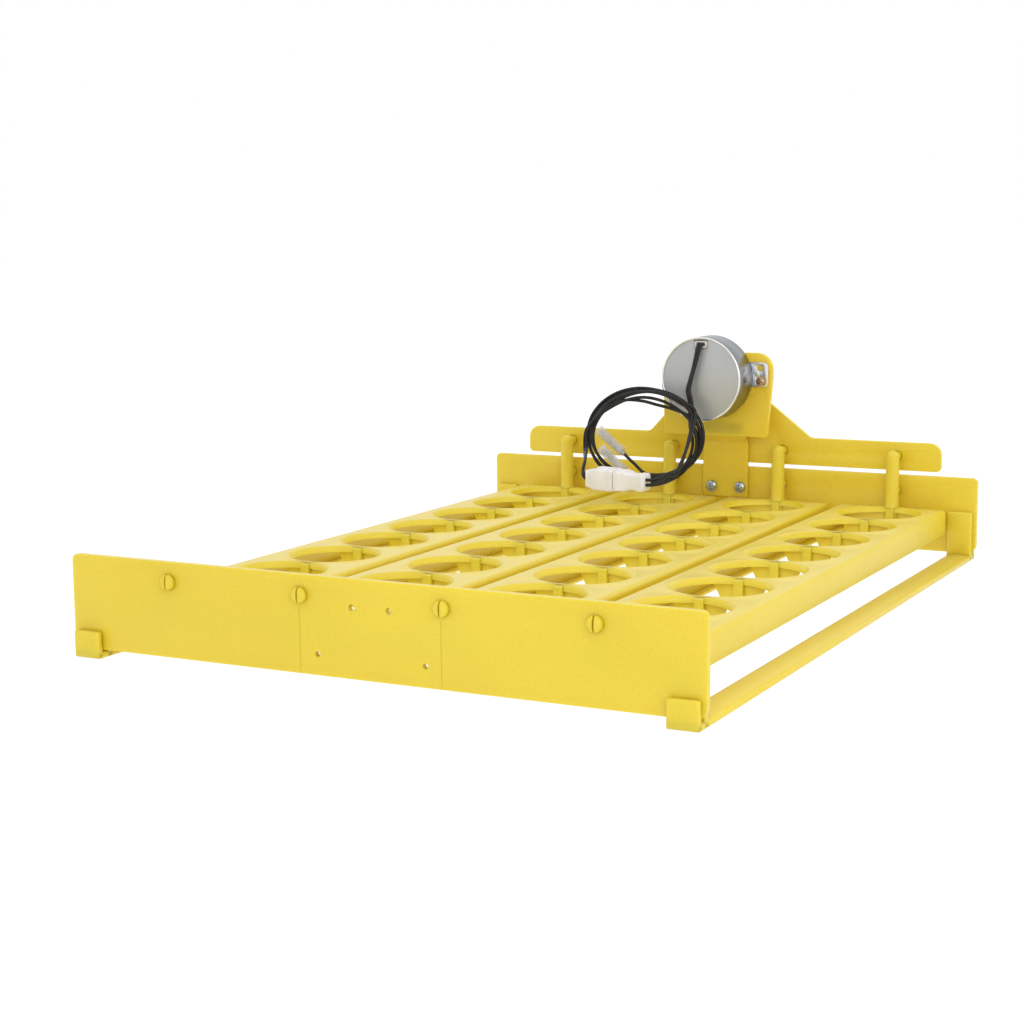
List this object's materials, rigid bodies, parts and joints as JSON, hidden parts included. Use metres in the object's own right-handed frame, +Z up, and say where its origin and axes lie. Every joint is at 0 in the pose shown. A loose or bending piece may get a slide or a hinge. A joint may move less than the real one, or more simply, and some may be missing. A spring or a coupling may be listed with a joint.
{
  "type": "automatic egg turning tray",
  "caption": "Tilting egg tray frame for an incubator: hinged egg trays between end plates, swung together by a geared motor, crank and link bar.",
  "frame": {"origin": "middle of the foot print, on the surface the side rails stand on", "axes": "+X to the right seen from the pin side, +Y towards the motor end, +Z up"},
  "size_m": [0.312, 0.425, 0.1276],
  "materials": {
    "yellow_plastic": "satin moulded polypropylene, slightly translucent",
    "natural_nylon": "semi-gloss natural nylon",
    "plated_steel": "plated, finely brushed",
    "bright_zinc": "bright zinc plating",
    "copper_winding": "enamelled wire",
    "rotor_magnet": "ferrite, matt",
    "clear_sleeve": "clear soft sleeve",
    "black_pvc": "satin cable sheath"
  },
  "bodies": {
    "frame": {"front_plate": "yellow_plastic", "back_plate": "yellow_plastic", "rail_left": "yellow_plastic", "rail_right": "yellow_plastic", "motor_bracket": "yellow_plastic", "lead_bush": "natural_nylon", "connector_socket": "natural_nylon", "connector_plug": "natural_nylon", "motor_can": "plated_steel", "motor_face": "plated_steel", "motor_flange": "bright_zinc", "bracket_screw_1": "bright_zinc", "bracket_screw_2": "bright_zinc", "motor_screw_1": "bright_zinc", "motor_screw_2": "bright_zinc", "terminal_1": "bright_zinc", "terminal_2": "bright_zinc", "stator_coil": "copper_winding", "terminal_sleeve_1": "clear_sleeve", "terminal_sleeve_2": "clear_sleeve", "lead_drop": "black_pvc", "lead_coil": "black_pvc", "lead_socket": "black_pvc", "lead_plug": "black_pvc", "lead_tail_1": "black_pvc", "lead_tail_2": "black_pvc"},
    "tray_1": {"egg_tray_1": "yellow_plastic"},
    "tray_2": {"egg_tray_2": "yellow_plastic"},
    "tray_3": {"egg_tray_3": "yellow_plastic"},
    "tray_4": {"egg_tray_4": "yellow_plastic"},
    "link": {"link_bar": "yellow_plastic"},
    "crank": {"crank": "natural_nylon", "crank_screw": "bright_zinc", "output_shaft": "plated_steel"},
    "reduction": {"reduction_gear": "natural_nylon"},
    "rotor": {"rotor": "rotor_magnet"}
  },
  "joints": [
    {"name": "tray_1_tilt", "type": "hinge", "parent": "frame", "child": "tray_1", "pos_m": [-0.1015, 0, 0.0385], "axis": [0, 1, 0], "range_deg": [-27, 27]},
    {"name": "tray_2_tilt", "type": "hinge", "parent": "frame", "child": "tray_2", "pos_m": [-0.0315, 0, 0.0385], "axis": [0, 1, 0], "range_deg": [-27, 27]},
    {"name": "tray_3_tilt", "type": "hinge", "parent": "frame", "child": "tray_3", "pos_m": [0.0385, 0, 0.0385], "axis": [0, 1, 0], "range_deg": [-27, 27]},
    {"name": "tray_4_tilt", "type": "hinge", "parent": "frame", "child": "tray_4", "pos_m": [0.1085, 0, 0.0385], "axis": [0, 1, 0], "range_deg": [-27, 27]},
    {"name": "link_swing", "type": "hinge", "parent": "tray_1", "child": "link", "pos_m": [-0.1015, 0.2077, 0.0585], "axis": [0, 1, 0], "range_deg": [-27, 27]},
    {"name": "crank_turn", "type": "hinge", "parent": "frame", "child": "crank", "pos_m": [-0.0007, 0.195, 0.1026], "axis": [0, 1, 0], "range_deg": [-70.3, 70.3]},
    {"name": "reduction_turn", "type": "hinge", "parent": "frame", "child": "reduction", "pos_m": [0.0123, 0.187, 0.1026], "axis": [0, 1, 0], "range_deg": [-235, 235]},
    {"name": "rotor_turn", "type": "hinge", "parent": "frame", "child": "rotor", "pos_m": [-0.0007, 0.178, 0.1026], "axis": [0, 1, 0], "range_deg": [-940, 940]}
  ],
  "couplings": [
    {"joint": "tray_2_tilt", "follows": "tray_1_tilt", "ratio": 1},
    {"joint": "tray_3_tilt", "follows": "tray_1_tilt", "ratio": 1},
    {"joint": "tray_4_tilt", "follows": "tray_1_tilt", "ratio": 1},
    {"joint": "link_swing", "follows": "tray_1_tilt", "ratio": -1},
    {"joint": "crank_turn", "follows": "tray_1_tilt", "ratio": 2.6},
    {"joint": "reduction_turn", "follows": "tray_1_tilt", "ratio": -8.6667},
    {"joint": "rotor_turn", "follows": "tray_1_tilt", "ratio": 34.667}
  ]
}
